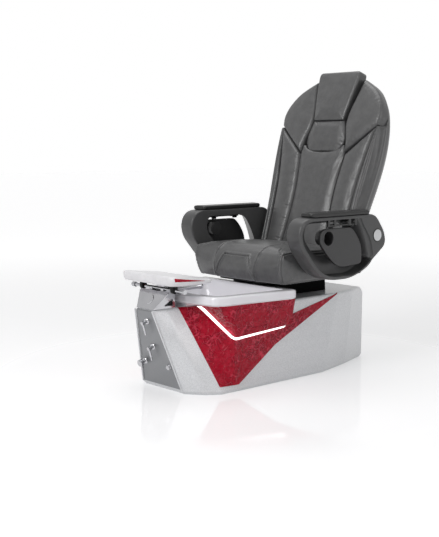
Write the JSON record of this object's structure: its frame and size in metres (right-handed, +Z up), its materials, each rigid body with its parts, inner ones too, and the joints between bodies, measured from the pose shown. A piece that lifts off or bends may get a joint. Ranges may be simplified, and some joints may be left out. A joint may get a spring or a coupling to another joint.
{
  "type": "pedicure spa chair",
  "caption": "Pedicure spa chair: foot bath base with lit red side inlays, sliding reclining massage seat, lifting armrests with cup trays and tilting footrest.",
  "frame": {"origin": "on the floor plate's underside, on the middle plane, under the front edge of the seat area", "axes": "+Z up, -Y towards the technician at the footrest, +X to the sitter's left"},
  "size_m": [0.859, 1.3926, 1.5013],
  "materials": {
    "pearl_shell": "pearl flake gel coat, gloss",
    "base_board": "sealed board",
    "red_inlay": "embossed metallic red, gloss",
    "light_strip": "white diffuser",
    "basin": "high gloss",
    "chrome": "polished",
    "black_plastic": "satin",
    "brushed_panel": "fine brushed",
    "white_trim": "beaded, gloss",
    "black_steel": "powder coat",
    "white_pad": "soft gloss",
    "grey_leather": "smooth grain, satin",
    "grey_cover": "smooth grain over a moulded shell",
    "black_rubber": "matte",
    "charcoal_plastic": "semi-gloss moulded",
    "black_pad": "light sheen",
    "silver_cap": "satin",
    "dark_tray": "semi-gloss"
  },
  "bodies": {
    "base": {"base_shell": "pearl_shell", "floor_plate": "base_board", "vee_panel_left": "red_inlay", "vee_panel_right": "red_inlay", "light_strip_left": "light_strip", "light_strip_right": "light_strip", "basin": "basin", "drain_strainer": "chrome", "waste_pipe": "black_plastic", "jet_cover": "chrome", "jet_motor": "black_plastic", "bowl_skirt_left": "red_inlay", "bowl_skirt_right": "red_inlay", "front_panel": "brushed_panel", "panel_trims": "white_trim", "valve_bodies": "chrome", "console": "chrome", "console_badge": "chrome", "footrest_rod": "chrome", "spout": "chrome", "pedestal": "black_plastic", "slide_rails": "black_steel"},
    "impeller": {"jet_impeller": "black_plastic"},
    "upper_lever": {"upper_valve_lever": "chrome"},
    "lower_lever": {"lower_valve_lever": "chrome"},
    "drain_control": {"drain_knob": "chrome"},
    "jet_button": {"air_button": "chrome"},
    "grip_left": {"footrest_grip_left": "chrome"},
    "grip_right": {"footrest_grip_right": "chrome"},
    "footrest": {"footrest_bracket": "black_steel", "footrest_pad": "white_pad"},
    "seat": {"slide_runners": "black_steel", "seat_pan": "black_steel", "arm_plates": "black_steel", "seat_cushion": "grey_leather", "recline_pin": "black_steel"},
    "backrest": {"back_shell": "grey_cover", "back_cushion": "grey_leather", "neck_pad": "grey_leather", "head_pillow": "grey_leather", "back_bolster_left": "grey_leather", "back_bolster_right": "grey_leather", "head_wing_left": "grey_leather", "head_wing_right": "grey_leather", "back_frame": "black_steel"},
    "massage_unit": {"massage_carriage": "black_steel"},
    "massage_wheels": {"massage_rollers": "black_rubber"},
    "armrest_left": {"armrest_shell_left": "charcoal_plastic", "arm_pad_left": "black_pad", "pivot_cap_left": "silver_cap", "tray_pin_left": "chrome"},
    "tray_left": {"cup_tray_left": "dark_tray"},
    "armrest_right": {"armrest_shell_right": "charcoal_plastic", "arm_pad_right": "black_pad", "pivot_cap_right": "silver_cap", "tray_pin_right": "chrome"},
    "tray_right": {"cup_tray_right": "dark_tray"}
  },
  "joints": [
    {"name": "seat_slide", "type": "slide", "parent": "base", "child": "seat", "axis": [0, 1, 0], "range_m": [-0.1, 0.1]},
    {"name": "back_recline", "type": "hinge", "parent": "seat", "child": "backrest", "pos_m": [0, 0.47, 0.505], "axis": [-1, 0, 0], "range_deg": [-4, 30]},
    {"name": "footrest_tilt", "type": "hinge", "parent": "base", "child": "footrest", "pos_m": [0, -0.546, 0.4763], "axis": [1, 0, 0], "range_deg": [-8, 35]},
    {"name": "footrest_grip_left_turn", "type": "hinge", "parent": "base", "child": "grip_left", "pos_m": [0.168, -0.546, 0.4763], "axis": [1, 0, 0], "range_deg": [-180, 180]},
    {"name": "footrest_grip_right_turn", "type": "hinge", "parent": "base", "child": "grip_right", "pos_m": [-0.168, -0.546, 0.4763], "axis": [-1, 0, 0], "range_deg": [-180, 180]},
    {"name": "upper_valve_turn", "type": "hinge", "parent": "base", "child": "upper_lever", "pos_m": [0, -0.61576, 0.32928], "axis": [0, -0.9608, -0.2773], "range_deg": [-45, 45]},
    {"name": "lower_valve_turn", "type": "hinge", "parent": "base", "child": "lower_lever", "pos_m": [0, -0.58054, 0.20728], "axis": [0, -0.9608, -0.2773], "range_deg": [-45, 45]},
    {"name": "drain_knob_turn", "type": "hinge", "parent": "base", "child": "drain_control", "pos_m": [-0.09, -0.55658, 0.12428], "axis": [0, -0.9608, -0.2773], "range_deg": [0, 90]},
    {"name": "jet_button_press", "type": "slide", "parent": "base", "child": "jet_button", "axis": [0, 0.9608, 0.2773], "range_m": [0, 0.003], "stiffness_N_per_m": 400, "springref_m": -0.001},
    {"name": "jet_impeller_spin", "type": "hinge", "parent": "base", "child": "impeller", "pos_m": [0, -0.06202, 0.235], "axis": [0, -0.9751, 0.2219], "continuous": true},
    {"name": "massage_travel", "type": "slide", "parent": "backrest", "child": "massage_unit", "axis": [0, 0.3024, 0.9532], "range_m": [0, 0.5]},
    {"name": "massage_roll", "type": "hinge", "parent": "massage_unit", "child": "massage_wheels", "pos_m": [0, 0.50193, 0.63698], "axis": [1, 0, 0], "continuous": true},
    {"name": "armrest_left_lift", "type": "hinge", "parent": "seat", "child": "armrest_left", "pos_m": [0.336, 0.494, 0.684], "axis": [-1, 0, 0], "range_deg": [0, 60]},
    {"name": "tray_left_swing", "type": "hinge", "parent": "armrest_left", "child": "tray_left", "pos_m": [0.418, 0.24, 0.748], "axis": [0, -1, 0], "range_deg": [0, 90]},
    {"name": "armrest_right_lift", "type": "hinge", "parent": "seat", "child": "armrest_right", "pos_m": [-0.336, 0.494, 0.684], "axis": [-1, 0, 0], "range_deg": [0, 60]},
    {"name": "tray_right_swing", "type": "hinge", "parent": "armrest_right", "child": "tray_right", "pos_m": [-0.418, 0.24, 0.748], "axis": [0, 1, 0], "range_deg": [0, 90]}
  ]
}
